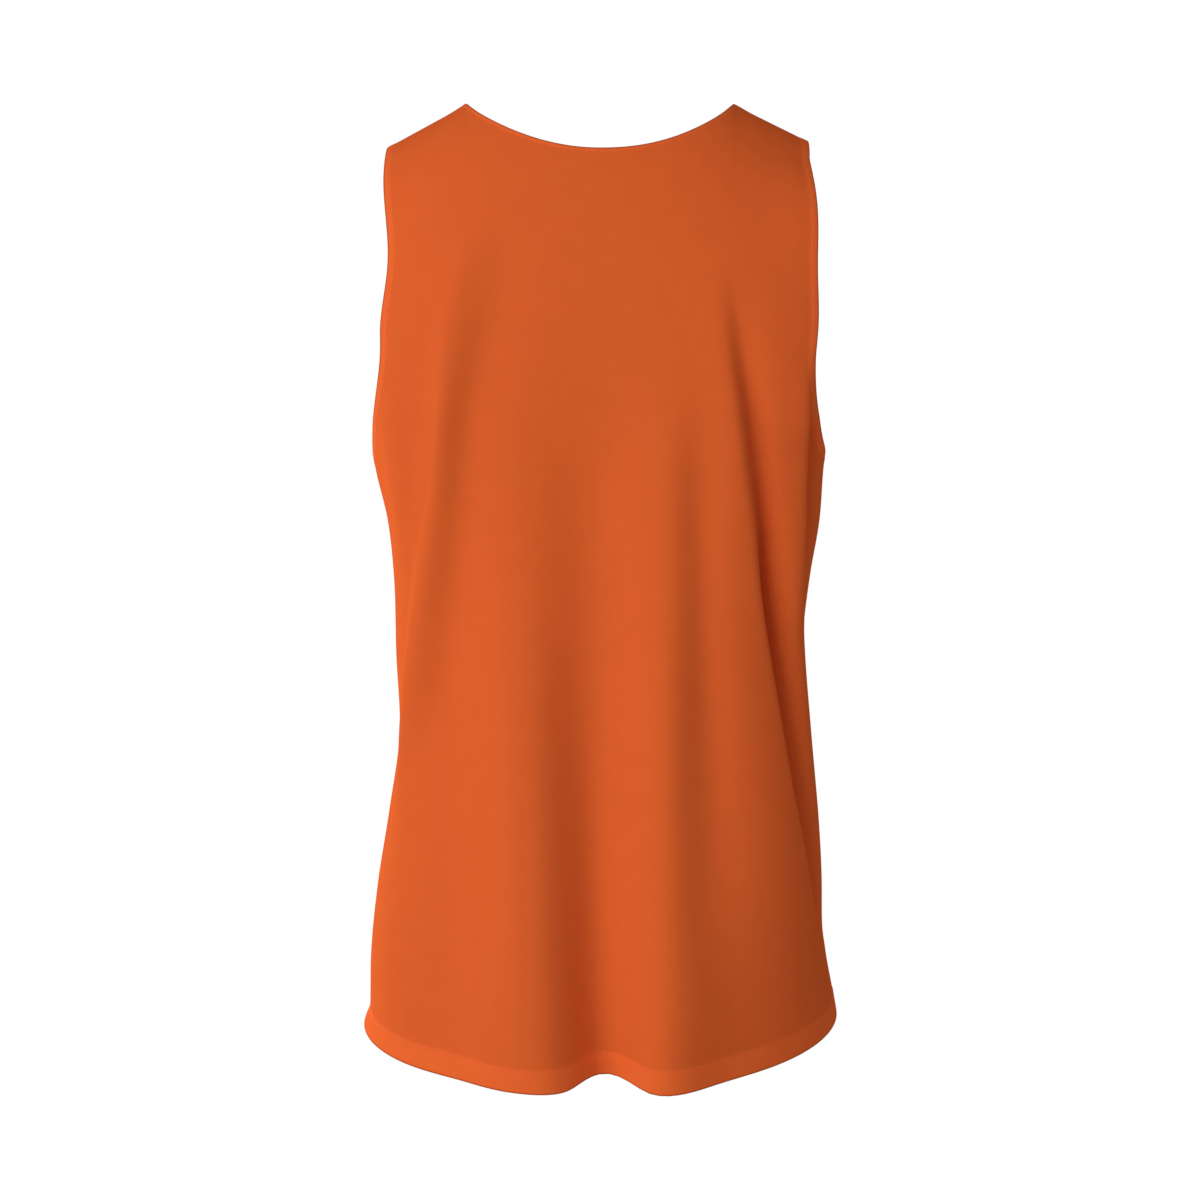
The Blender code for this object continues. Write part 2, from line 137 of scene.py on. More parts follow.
# crease from the right armhole to the hem, sharp and deep, most of all beside the waist
LONG_CREASE = Fold(2, 1.6, (
    Row(-0.120, -0.095, 0.000, 0.009, 0.018),
    Row(-0.173, -0.1005, -0.0045, 0.008, 0.016),
    Row(-0.208, -0.107, -0.008, 0.007, 0.014),
    Row(-0.280, -0.1195, -0.014, 0.007, 0.011),
    Row(-0.350, -0.130, -0.022, 0.007, 0.010),
    Row(-0.425, -0.148, -0.028, 0.007, 0.009),
    Row(-0.495, -0.167, -0.029, 0.007, 0.009),
    Row(-0.567, -0.195, -0.025, 0.008, 0.010),
    Row(-0.630, -0.220, 0.000, 0.012, 0.014),
))
BACK_FOLDS = (
    # flute that hangs from the left shoulder blade
    Fold(2, 2.8, (
        Row(-0.240, 0.060, 0.000, 0.038, 0.030),
        Row(-0.350, 0.061, 0.003, 0.036, 0.030),
        Row(-0.430, 0.059, 0.010, 0.034, 0.032),
        Row(-0.500, 0.057, 0.015, 0.034, 0.034),
        Row(-0.570, 0.055, 0.017, 0.034, 0.035),
        Row(-0.640, 0.054, 0.015, 0.037, 0.034),
        Row(-0.700, 0.054, 0.008, 0.042, 0.030),
    )),
    # trough down the middle, which ends in a deep notch of the hem
    Fold(2, 2, (
        Row(-0.120, 0.000, 0.000, 0.050, 0.050),
        Row(-0.200, 0.004, -0.003, 0.045, 0.040),
        Row(-0.280, 0.004, -0.008, 0.034, 0.026),
        Row(-0.350, 0.003, -0.009, 0.030, 0.026),
        Row(-0.430, 0.002, -0.008, 0.026, 0.024),
        Row(-0.500, 0.002, -0.007, 0.023, 0.022),
        Row(-0.570, 0.001, -0.008, 0.022, 0.020),
        Row(-0.640, -0.002, -0.013, 0.022, 0.020),
        Row(-0.703, -0.005, -0.025, 0.022, 0.020),
    )),
    # flute right of the middle
    Fold(2, 2, (
        Row(-0.180, -0.050, 0.000, 0.020, 0.018),
        Row(-0.280, -0.049, 0.003, 0.022, 0.018),
        Row(-0.350, -0.048, 0.005, 0.022, 0.018),
        Row(-0.430, -0.047, 0.009, 0.024, 0.020),
        Row(-0.500, -0.047, 0.011, 0.024, 0.022),
        Row(-0.570, -0.048, 0.014, 0.025, 0.026),
        Row(-0.640, -0.049, 0.016, 0.025, 0.034),
        Row(-0.700, -0.050, 0.012, 0.024, 0.032),
    )),
    # hollow between that flute and the long crease
    Fold(2, 2, (
        Row(-0.200, -0.068, 0.000, 0.013, 0.014),
        Row(-0.280, -0.071, -0.003, 0.013, 0.014),
        Row(-0.350, -0.074, -0.003, 0.013, 0.014),
        Row(-0.430, -0.077, -0.003, 0.014, 0.016),
        Row(-0.500, -0.082, -0.002, 0.016, 0.018),
        Row(-0.570, -0.088, 0.000, 0.016, 0.020),
    )),
    # hollow beside the ridge of the left armhole
    Fold(2, 2, (
        Row(-0.080, 0.066, 0.000, 0.020, 0.024),
        Row(-0.130, 0.073, -0.002, 0.020, 0.024),
        Row(-0.175, 0.082, -0.003, 0.018, 0.024),
        Row(-0.210, 0.090, -0.003, 0.018, 0.024),
        Row(-0.280, 0.097, -0.003, 0.018, 0.024),
        Row(-0.350, 0.100, -0.005, 0.020, 0.024),
        Row(-0.430, 0.106, -0.006, 0.024, 0.023),
        Row(-0.500, 0.107, -0.008, 0.034, 0.022),
        Row(-0.570, 0.108, -0.009, 0.036, 0.022),
        Row(-0.630, 0.108, -0.007, 0.036, 0.022),
        Row(-0.690, 0.108, -0.002, 0.034, 0.022),
    )),
    # ridge from the left armhole down to the waist
    Fold(2, 2, (
        Row(-0.080, 0.098, 0.000, 0.018, 0.026),
        Row(-0.130, 0.102, 0.003, 0.016, 0.022),
        Row(-0.175, 0.107, 0.005, 0.012, 0.018),
        Row(-0.210, 0.111, 0.007, 0.009, 0.015),
        Row(-0.280, 0.118, 0.009, 0.009, 0.015),
        Row(-0.350, 0.130, 0.010, 0.009, 0.014),
        Row(-0.425, 0.144, 0.010, 0.010, 0.014),
        Row(-0.470, 0.158, 0.006, 0.010, 0.014),
        Row(-0.520, 0.172, 0.000, 0.010, 0.014),
    )),
    # bulge of the cloth at the left armpit
    Fold(2, 2, (
        Row(-0.180, 0.148, 0.000, 0.012, 0.012),
        Row(-0.230, 0.152, 0.004, 0.012, 0.012),
        Row(-0.300, 0.150, 0.004, 0.012, 0.012),
        Row(-0.350, 0.152, 0.000, 0.012, 0.012),
    )),
    # low ridge inside the top of the long crease
    Fold(2, 2, (
        Row(-0.110, -0.080, 0.0000, 0.016, 0.012),
        Row(-0.173, -0.088, 0.0015, 0.016, 0.009),
        Row(-0.240, -0.096, 0.0020, 0.016, 0.009),
        Row(-0.320, -0.106, 0.0000, 0.016, 0.010),
    )),
    LONG_CREASE,
    # ridge outside the long crease, where the cloth turns to the side
    Fold(2, 2, (
        Row(-0.310, -0.152, 0.000, 0.014, 0.014),
        Row(-0.360, -0.158, 0.003, 0.014, 0.014),
        Row(-0.425, -0.172, 0.005, 0.014, 0.014),
        Row(-0.495, -0.192, 0.005, 0.014, 0.014),
        Row(-0.567, -0.218, 0.003, 0.014, 0.014),
        Row(-0.620, -0.232, 0.000, 0.014, 0.014),
    )),
    # the cloth stays full up to the short fold under the right armhole
    Fold(2, 2, (
        Row(-0.180, -0.147, 0.0000, 0.012, 0.006),
        Row(-0.220, -0.150, 0.0025, 0.012, 0.006),
        Row(-0.280, -0.154, 0.0035, 0.012, 0.006),
        Row(-0.340, -0.156, 0.0030, 0.012, 0.006),
        Row(-0.390, -0.158, 0.0000, 0.012, 0.006),
    )),
    # short fold under the right armhole
    Fold(2, 2, (
        Row(-0.170, -0.156, 0.000, 0.006, 0.009),
        Row(-0.208, -0.158, -0.004, 0.006, 0.009),
        Row(-0.244, -0.162, -0.009, 0.006, 0.009),
        Row(-0.280, -0.163, -0.010, 0.006, 0.009),
        Row(-0.315, -0.164, -0.008, 0.006, 0.009),
        Row(-0.340, -0.165, -0.003, 0.007, 0.010),
        Row(-0.370, -0.166, 0.000, 0.008, 0.010),
    )),
    # the cloth stands off a little along the right armhole and under it
    Fold(2, 2, (
        Row(-0.040, -0.185, 0.000, 0.035, 0.035),
        Row(-0.070, -0.185, 0.009, 0.035, 0.035),
        Row(-0.200, -0.185, 0.009, 0.035, 0.035),
        Row(-0.280, -0.185, 0.007, 0.035, 0.035),
        Row(-0.340, -0.185, 0.003, 0.035, 0.035),
        Row(-0.380, -0.190, 0.000, 0.030, 0.030),
    )),
)


def through(z, rows, column):
    """Value of a table's column at height z: a smooth curve through the rows, level past both ends."""
    rows = sorted(rows)
    stations = np.array([row.z for row in rows])
    values = np.array([getattr(row, column) for row in rows])
    slopes = np.gradient(values, stations)
    z = np.clip(z, stations[0], stations[-1])
    start = np.clip(np.searchsorted(stations, z, side="right") - 1, 0, len(rows) - 2)
    span = stations[start + 1] - stations[start]
    u = (z - stations[start]) / span
    return ((2 * u**3 - 3 * u**2 + 1) * values[start] + (u**3 - 2 * u**2 + u) * span * slopes[start]
            + (3 * u**2 - 2 * u**3) * values[start + 1] + (u**3 - u**2) * span * slopes[start + 1])


def level(place, z, side, cut):
    """Points of the torso at one level, from the wearer's right edge (-1) to the left edge (1). The
    section is a superellipse, whose ends the armholes cut off at the share "cut" of its depth."""
    half = np.where(place > 0, through(z, SECTIONS, "left"), through(z, SECTIONS, "right"))
    power = through(z, SECTIONS, "power")
    x = place * (1 - cut**power) ** (1 / power)
    return x * half, through(z, SECTIONS, side) * (1 - np.abs(x) ** power) ** (1 / power)


def run(points, axis):
    """Length along the grid's rows (axis 1) or columns (axis 0) from their first point."""
    steps = np.linalg.norm(np.diff(points, axis=axis), axis=-1)
    return np.insert(np.cumsum(steps, axis=axis), 0, 0, axis=axis)


def columns(side):
    """Places of the grid's columns: the sines of even angles, with one column on each high shoulder
    point and one on the centre line."""
    tip_half, _ = level(1.0, SHOULDER_TIP_Z, side, ARMHOLE_CUT)
    neck_angle = np.arcsin(NECK_HALF / tip_half)
    shoulder = np.linspace(neck_angle, np.pi / 2, SHOULDER_CELLS + 1)[1:]
    neck = np.linspace(-neck_angle, neck_angle, NECK_CELLS + 1)
    return np.sin(np.concatenate([-shoulder[::-1], neck, shoulder]))[None, :]


def roof(x):
    """Height of the shoulder line: an even fall outwards from the high shoulder points, and between
    them an arch that the neckline cuts short."""
    out = np.abs(x) - NECK_HALF
    slope = np.where(x > 0, SHOULDER_SLOPE_LEFT, SHOULDER_SLOPE_RIGHT)
    return np.where(out > 0, -slope * out, NECK_ARCH * (1 - (x / NECK_HALF) ** 2))


def neck_peak(x):
    """How much the cloth stands up near the high shoulder points: a bell around each."""
    return NECK_PEAK * np.exp(-((np.abs(x) - NECK_HALF) / NECK_PEAK_REACH) ** 2)


def beside_crease(place, z, side, cut, crease):
    """Places of the columns, row by row, with one column along a crease of the right half. On both
    sides of it a column at the share v of the way to the centre line or to the edge goes to the share
    v * (CROWDING + (1 - CROWDING) * v). Towards the yoke the columns ease back to their even places."""
    x, y = level(place, z, side, cut)
    along = run(np.stack([x, y], axis=-1), 1)
    along -= along[:, along.shape[1] // 2, None]
    z = z[:, :1]
    target = through(z, crease.rows, "across")
    after = (along < target).sum(axis=1, keepdims=True)
    low, high = (np.take_along_axis(along, index, axis=1) for index in (after - 1, after))
    line = place[0, after - 1] + (place[0, after] - place[0, after - 1]) * (target - low) / (high - low)

    home = place[0, CREASE_COLUMN]
    outside = place < home
    v = np.where(outside, (home - place) / (home + 1), 1 - np.clip(place / home, 0, 1))
    v *= CROWDING + (1 - CROWDING) * v
    crowded = np.where(outside, line - v * (line + 1), np.where(place < 0, line * (1 - v), place))
    share = np.clip((BLADE_Z - z) / (BLADE_Z - ARMPIT_Z), 0, 1)
    return place + share**2 * (3 - 2 * share) * (crowded - place)


def armhole_turn():
    """Angles round the lower quarter of an armhole for the rows from the armpits to the shoulder
    blades: a quarter turn times the share of the way up, raised to a power."""
    return np.pi / 2 * (np.arange(1, ARM_ROWS + 1) / ARM_ROWS) ** ARM_CROWDING


def row_heights(place, notch):
    """Heights of the rows up to the shoulder blades at the given places: a share of the hem's height,
    which grows with the square of the place and with a flat bell in the notch, and a rise. Rows crowd
    together at the hem."""
    hem = HEM_Z + np.where(place > 0, HEM_LIFT_LEFT, HEM_LIFT_RIGHT) * place**2
    hem = hem + notch * np.exp(-((place - NOTCH_PLACE) / NOTCH_REACH) ** 4)
    climb = np.linspace(0, 1, BODY_ROWS + 1)[1:]
    turn = armhole_turn()
    share = np.concatenate([np.ones(HEM_ROWS + 1), 1 - climb, np.zeros(ARM_ROWS)])
    rise = np.concatenate([np.linspace(0, HEM_ZONE, HEM_ROWS + 1),
                           HEM_ZONE + (ARMPIT_Z - HEM_ZONE) * climb,
                           BLADE_Z - (BLADE_Z - ARMPIT_Z) * np.cos(turn)])
    return share[:, None] * hem + rise[:, None]


def smooth_panel(side, neck_drop, crease=None):
    """Grid of a panel's points before folds: rows from hem to top, columns from right to left.
    Up to the shoulder blades the rows are level sections; the yoke above them rises to the shoulder
    line in quarter ellipses, which the neckline cuts short. Rows crowd together at the neckline."""
    place = columns(side)
    turn = armhole_turn()
    cut = ARMHOLE_CUT * np.sin(np.concatenate([np.zeros(HEM_ROWS + BODY_ROWS + 1), turn]))[:, None]
    notch = HEM_NOTCH if side == "back" else 0
    spread = place
    if crease:
        spread = beside_crease(place, row_heights(place, notch), side, cut, crease)
    level_z = row_heights(spread, notch)
    x, y = level(spread, level_z, side, cut)

    share = 1 - (1 - np.linspace(0, 1, YOKE_ROWS + 1)[1:, None]) ** NECK_CROWDING
    edge_z = BLADE_Z + (SHOULDER_TIP_Z - BLADE_Z) * np.sin(share * np.pi / 2)
    yoke_x, yoke_y = level(place, edge_z, side, ARMHOLE_CUT)
    crown = roof(yoke_x[-1])
    across_neck = np.minimum(np.abs(yoke_x[-1]) / NECK_HALF, 1)
    neck_power = np.where(place > 0, NECK_POWER_LEFT, NECK_POWER_RIGHT)
    neckline = -neck_drop * (1 - across_neck**neck_power)
    top = np.where(across_neck < 1, neckline, crown)
    angle = share * np.arcsin(np.minimum((top - BLADE_Z) / (crown - BLADE_Z), 1))
    yoke_z = BLADE_Z + (crown - BLADE_Z) * np.sin(angle) + share**PEAK_FADE * neck_peak(yoke_x[-1])
    return np.stack([np.concatenate([x, yoke_x]), np.concatenate([y, yoke_y * np.cos(angle)]),
                     np.concatenate([level_z, yoke_z])], axis=-1)


ARMPIT_ROW = HEM_ROWS + BODY_ROWS                       # row at the foot of the armholes
SIDE_ROWS = slice(0, ARMPIT_ROW + 1)                    # rows whose ends lie on a side seam
ARM_EDGE = slice(ARMPIT_ROW, None)                      # rows whose ends lie on an armhole
NECK_EDGE = slice(SHOULDER_CELLS, -SHOULDER_CELLS)      # columns whose top lies on the neckline
CREASE_COLUMN = SHOULDER_CELLS - 8                      # column that runs along the long crease


def unit(vectors):
    """Vectors scaled to length 1."""
    return vectors / np.linalg.norm(vectors, axis=-1, keepdims=True)


def normals(points):
    """Unit normals out of a back panel's grid. Along the seams they stay square to the seam's plane."""
    normal = np.cross(np.gradient(points, axis=0), np.gradient(points, axis=1))
    normal[SIDE_ROWS, [0, -1], 1] = 0
    normal[-1, :SHOULDER_CELLS + 1, 1] = 0
    normal[-1, -SHOULDER_CELLS - 1:, 1] = 0
    return unit(normal)


def relief(points, folds):
    """How far the folds lift the cloth: each is height * exp(-|distance / flank| ** power)."""
    along = run(points, 1)
    along -= along[:, along.shape[1] // 2, None]
    z = points[..., 2]
    lift = np.zeros(z.shape)
    for fold in folds:
        away = along - through(z, fold.rows, "across")
        flank = np.where(away > 0, through(z, fold.rows, "left"), through(z, fold.rows, "right"))
        power = np.where(away > 0, fold.left_power, fold.right_power)
        lift += through(z, fold.rows, "height") * np.exp(-np.abs(away / flank) ** power)
    return lift


def reach(points, line):
    """Distance of each point from a line of short straight pieces: the least over its pieces."""
    start, step = line[:-1], np.diff(line, axis=0)
    offset = points[..., None, :] - start
    t = np.clip((offset * step).sum(-1) / (step**2).sum(-1), 0, 1)
    return np.linalg.norm(offset - t[..., None] * step, axis=-1).min(-1)


def edge_distances(points):
    """Distances of each point from the hem, the side seams, the armholes, the neckline and the
    shoulder seams. A point that an edge isn't near gets FAR."""
    far = np.full(points.shape[:2], FAR)
    hem = run(points, 0)
    top = hem[-1] - hem
    along = run(points, 1)
    sides = np.minimum(along, along[:, -1:] - along)
    arm = far.copy()
    for end, beside in ((0, slice(0, NEAR_ARM)), (-1, slice(-NEAR_ARM, None))):
        near = (slice(ARMPIT_ROW - BELOW_ARM, None), beside)
        arm[near] = reach(points[near], points[ARM_EDGE, end])
    neck = far.copy()
    neck[-NEAR_NECK:] = reach(points[-NEAR_NECK:], points[-1, NECK_EDGE])
    shoulder = np.where(np.abs(points[-1, :, 0]) >= NECK_HALF - 1 * MM, top, far)
    side = np.where(np.arange(len(points))[:, None] <= ARMPIT_ROW, sides, far)
    return hem, side, arm, neck, shoulder


def turned(distance, width):
    """1 on a turned edge of that width, and 0 past it: an S-curve of the distance."""
    return 0.5 - 0.5 * np.tanh((distance - width) / TURN_STEP / 2)


def groove(distance, middle, width):
    """1 on a line at that distance from an edge, falling off on both sides like a bell."""
    return np.exp(-((distance - middle) / width) ** 2)


def finished_cloth(points):
    """Outer offset and thickness of the cloth, and a colour factor that carries painted light. A turned
    edge stands a little proud, its stitches dent it, and beside a seam the cloth rolls in to the seam
    line. The colour is lighter by 1 where the cloth is double or lies over the plies beside a shoulder
    seam, partly as the denser colour of double cloth and partly as a painted highlight where these raised
    edges catch light. It adds a painted highlight, a pale line along the top of the turned hem, and
    painted shade, a dark line where a turned edge folds over."""
    hem, side, arm, neck, shoulder = edge_distances(points)
    edge = np.maximum(turned(arm, ARM_TURN), turned(neck, NECK_TURN))
    double = np.maximum(edge, turned(hem, HEM_TURN))
    dent = (groove(hem, HEM_SEWN, HEM_DENT) + groove(arm, ARM_SEWN, ARM_DENT)
            + groove(neck, NECK_SEWN, NECK_DENT))
    seam = groove(side, 0, SEAM_ROLL_WIDTH) + groove(shoulder, 0, SEAM_ROLL_WIDTH)
    shoulder_ply = turned(shoulder, SEAM_ALLOWANCE)
    allowance = np.maximum(turned(side, SEAM_ALLOWANCE), shoulder_ply)
    out = TURN_RISE * double - DENT * dent - SEAM_ROLL * seam - WALL_INSET
    thick = CLOTH + TURN_PLY * double + SEAM_PLY * allowance * (1 - double)
    # painted shade: the colour darkens in a thin line where each turned edge folds over
    painted_edge_shade = groove(np.minimum(np.minimum(hem, arm), neck), 0, PAINTED_SHADE_WIDTH)
    # painted highlight: a pale line along the top edge of the turned hem
    hem_highlight = groove(hem, HEM_TURN, HEM_DENT)
    fullness_with_painted_light = np.maximum(double, shoulder_ply) + PAINTED_HEM_HIGHLIGHT * hem_highlight - PAINTED_BEND_SHADE * painted_edge_shade
    return out, thick, fullness_with_painted_light


def drawn_in(points):
    """Shift that draws the free edges in: EDGE_INSET * exp(-distance / EDGE_EASE), up from the hem,
    down from the neckline and towards the centre line from the armholes, but not off a shoulder seam."""
    hem, _, arm, neck, _ = edge_distances(points)
    up = unit(np.gradient(points, axis=0))
    inward = -np.sign(points[..., :1]) * unit(np.gradient(points, axis=1))
    above = np.clip((points[..., 2] - ARMPIT_Z) / ARM_EASE, 0, 1)
    at_hem, at_neck, at_arm = (EDGE_INSET * np.exp(-distance / EDGE_EASE) for distance in (hem, neck, arm))
    shift = (at_hem - at_neck)[..., None] * up + (at_arm * above)[..., None] * inward
    shift[-1, :SHOULDER_CELLS + 1, 1] = 0
    shift[-1, -SHOULDER_CELLS - 1:, 1] = 0
    return shift


RIM_ANGLES = np.radians([50, 0, -50])                   # places of a rim's loops round its half circle
RIM_DEPTH = 0.5                                         # how far it rounds out, as a share of that circle


def closed_faces(rows, cols, rims):
    """Quads of a closed wall: an outer grid, an inner grid, and rim loops between their borders."""
    index = np.arange(2 * rows * cols).reshape(2, rows, cols)
    outer, inner = index
    quads = [np.stack([outer[:-1, :-1], outer[1:, :-1], outer[1:, 1:], outer[:-1, 1:]], axis=-1),
             np.stack([inner[:-1, :-1], inner[:-1, 1:], inner[1:, 1:], inner[1:, :-1]], axis=-1)]
    border = around(index[..., None])[..., 0]
    middle = 2 * rows * cols + np.arange(rims * border.shape[1]).reshape(rims, -1)
    loops = np.concatenate([border[:1], middle, border[1:]])
    ahead = np.roll(loops, -1, axis=1)
    rim = np.stack([loops[:-1], ahead[:-1], ahead[1:], loops[1:]], axis=-1)
    return np.concatenate([quad.reshape(-1, 4) for quad in quads + [rim]])


def around(grids):
    """Border of each grid as a loop: hem, left edge, top, right edge."""
    return np.concatenate([grids[:, 0, :-1], grids[:, :-1, -1], grids[:, -1, :0:-1], grids[:, :0:-1, 0]],
                          axis=1)


def rim_points(outer, inner):
    """Loops between the borders of the two surfaces: pressed half circles of the cloth's thickness on
    free edges, flat on seams."""
    away = np.zeros(outer.shape)
    away[ARM_EDGE, 0] = unit(outer[ARM_EDGE, 0] - outer[ARM_EDGE, 1])
    away[ARM_EDGE, -1] = unit(outer[ARM_EDGE, -1] - outer[ARM_EDGE, -2])
    away[0] = unit(outer[0] - outer[1])
    away[-1, NECK_EDGE] = unit(outer[-1, NECK_EDGE] - outer[-2, NECK_EDGE])
    out, back, away = around(np.stack([outer, inner, away]))
    centre, half = (out + back) / 2, (out - back) / 2
    radius = np.linalg.norm(half, axis=-1, keepdims=True)
    return np.concatenate([centre + np.sin(a) * half + np.cos(a) * RIM_DEPTH * radius * away
                           for a in RIM_ANGLES])


def add_mesh(name, points, faces, material):
    """A smooth shaded object from an array of points and a list of faces."""
    mesh = bpy.data.meshes.new(name)
    mesh.from_pydata(points.tolist(), [], faces)
    mesh.materials.append(material)
    mesh.shade_smooth()
    piece = bpy.data.objects.new(name, mesh)
    bpy.context.collection.objects.link(piece)
    return piece


def add_panel(name, side, neck_drop, folds, material, crease=None):
    """A panel of cloth as a closed shell, and its outer surface's grid of points. A front panel is a
    back panel's form mirrored to -Y."""
    smooth = smooth_panel(side, neck_drop, crease)
    outer = smooth + relief(smooth, folds)[..., None] * normals(smooth)
    out, thick, fullness_with_painted_light = finished_cloth(outer)
    normal = normals(outer)
    outer = outer + out[..., None] * normal + drawn_in(outer)
    inner = outer - thick[..., None] * normal
    facing = 1 if side == "back" else -1
    points = np.concatenate([outer.reshape(-1, 3), inner.reshape(-1, 3), rim_points(outer, inner)])
    points[:, 1] = facing * (points[:, 1] + SEAM_GAP / 2)
    faces = closed_faces(*outer.shape[:2], len(RIM_ANGLES))[:, ::facing]
    piece = add_mesh(name, points, faces.tolist(), material)

    # distance across from the centre line, height and the colour factor with its painted highlights and
    # painted shade at each point, the rims' loops too
    across = run(outer, 1)
    across -= across[:, across.shape[1] // 2, None]
    grid = np.stack([across, outer[..., 2], fullness_with_painted_light], axis=-1)
    rims = np.tile(around(grid[None])[0], (len(RIM_ANGLES), 1))
    finish = np.concatenate([grid.reshape(-1, 3), grid.reshape(-1, 3), rims])
    corners = np.empty(len(piece.data.loops), dtype=np.int32)
    piece.data.loops.foreach_get("vertex_index", corners)
    piece.data.uv_layers.new(name="cloth").data.foreach_set("uv", finish[corners, :2].ravel())
    piece.data.attributes.new("fullness_with_painted_light", "FLOAT", "POINT").data.foreach_set("value", finish[:, 2].copy())
    surface = outer * (1, facing, 1) + (0, facing * SEAM_GAP / 2, 0)
    return piece, surface


WALE = 0.5655 * MM            # from one upright row of the knit's loops to the next,
COURSE = 0.4398 * MM          # and from one level row to the next
LOOP_RISE = 0.08 * MM         # how far a loop stands up
WAVE = np.pi / 10             # one repeat of a wave texture of scale 1


def knit(name, colour):
    """Smooth polyester knit: fine upright rows of loops, a soft sheen, and a colour slightly lighter where
    double, partly as double cloth and partly as painted highlight, with painted highlight and painted
    shade lines along its edges.
    The scale of a wave texture is the length of its repeat at scale 1, over the spacing."""
    material = bpy.data.materials.new(name)
    material.use_nodes = True
    nodes, links = material.node_tree.nodes, material.node_tree.links
    shader = nodes["Principled BSDF"]
    shader.inputs["Roughness"].default_value = 0.62
    shader.inputs["Specular IOR Level"].default_value = 0.0
    shader.inputs["Sheen Weight"].default_value = 0.05
    shader.inputs["Sheen Roughness"].default_value = 0.4
    shader.inputs["Sheen Tint"].default_value = (1.0, 0.16, 0.04, 1)
    spread = nodes.new("ShaderNodeUVMap")
    spread.uv_map = "cloth"
    wales = nodes.new("ShaderNodeTexWave")
    wales.bands_direction = "X"
    wales.inputs["Scale"].default_value = WAVE / WALE
    wales.inputs["Distortion"].default_value = 0.4
    courses = nodes.new("ShaderNodeTexWave")
    courses.bands_direction = "Y"
    courses.inputs["Scale"].default_value = WAVE / COURSE
    courses.inputs["Distortion"].default_value = 0.4
    loops = nodes.new("ShaderNodeMath")
    loops.operation = "MULTIPLY"
    bump = nodes.new("ShaderNodeBump")
    bump.inputs["Strength"].default_value = 0.25
    bump.inputs["Distance"].default_value = LOOP_RISE
    cloud = nodes.new("ShaderNodeTexNoise")
    cloud.inputs["Scale"].default_value = 60
    cloud.inputs["Detail"].default_value = 6
    tone = nodes.new("ShaderNodeMapRange")
    tone.inputs["To Min"].default_value = 0.96
    tone.inputs["To Max"].default_value = 1.04
    # colour factor: lighter where the cloth is double, partly painted highlight; a painted highlight line
    # at the hem's top; painted shade darkens a line along the turned edges
    fullness_with_painted_light = nodes.new("ShaderNodeAttribute")
    fullness_with_painted_light.attribute_name = "fullness_with_painted_light"
    colour_scale_with_painted_light = nodes.new("ShaderNodeMapRange")
    colour_scale_with_painted_light.inputs["To Min"].default_value = 1.0
    colour_scale_with_painted_light.inputs["To Max"].default_value = 1.14
    colour_scale_with_painted_light.clamp = False
    both = nodes.new("ShaderNodeMath")
    both.operation = "MULTIPLY"
    colour_with_painted_light = nodes.new("ShaderNodeVectorMath")
    colour_with_painted_light.operation = "SCALE"
    colour_with_painted_light.inputs[0].default_value = colour
    links.new(spread.outputs["UV"], wales.inputs["Vector"])
    links.new(spread.outputs["UV"], courses.inputs["Vector"])
    links.new(spread.outputs["UV"], cloud.inputs["Vector"])
    links.new(wales.outputs["Fac"], loops.inputs[0])
    links.new(courses.outputs["Fac"], loops.inputs[1])
    links.new(loops.outputs[0], bump.inputs["Height"])
    links.new(bump.outputs[0], shader.inputs["Normal"])
    links.new(cloud.outputs["Fac"], tone.inputs["Value"])
    links.new(fullness_with_painted_light.outputs["Fac"], colour_scale_with_painted_light.inputs["Value"])
    links.new(tone.outputs[0], both.inputs[0])
    links.new(colour_scale_with_painted_light.outputs[0], both.inputs[1])
    links.new(both.outputs[0], colour_with_painted_light.inputs["Scale"])
    links.new(colour_with_painted_light.outputs[0], shader.inputs["Base Color"])
    return material


orange_knit = knit("orange knit", (0.76, 0.125, 0.0275))
back, back_surface = add_panel("back_cloth", "back", BACK_NECK_DROP, BACK_FOLDS, orange_knit, LONG_CREASE)
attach(back, "root")
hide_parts("back_panel")


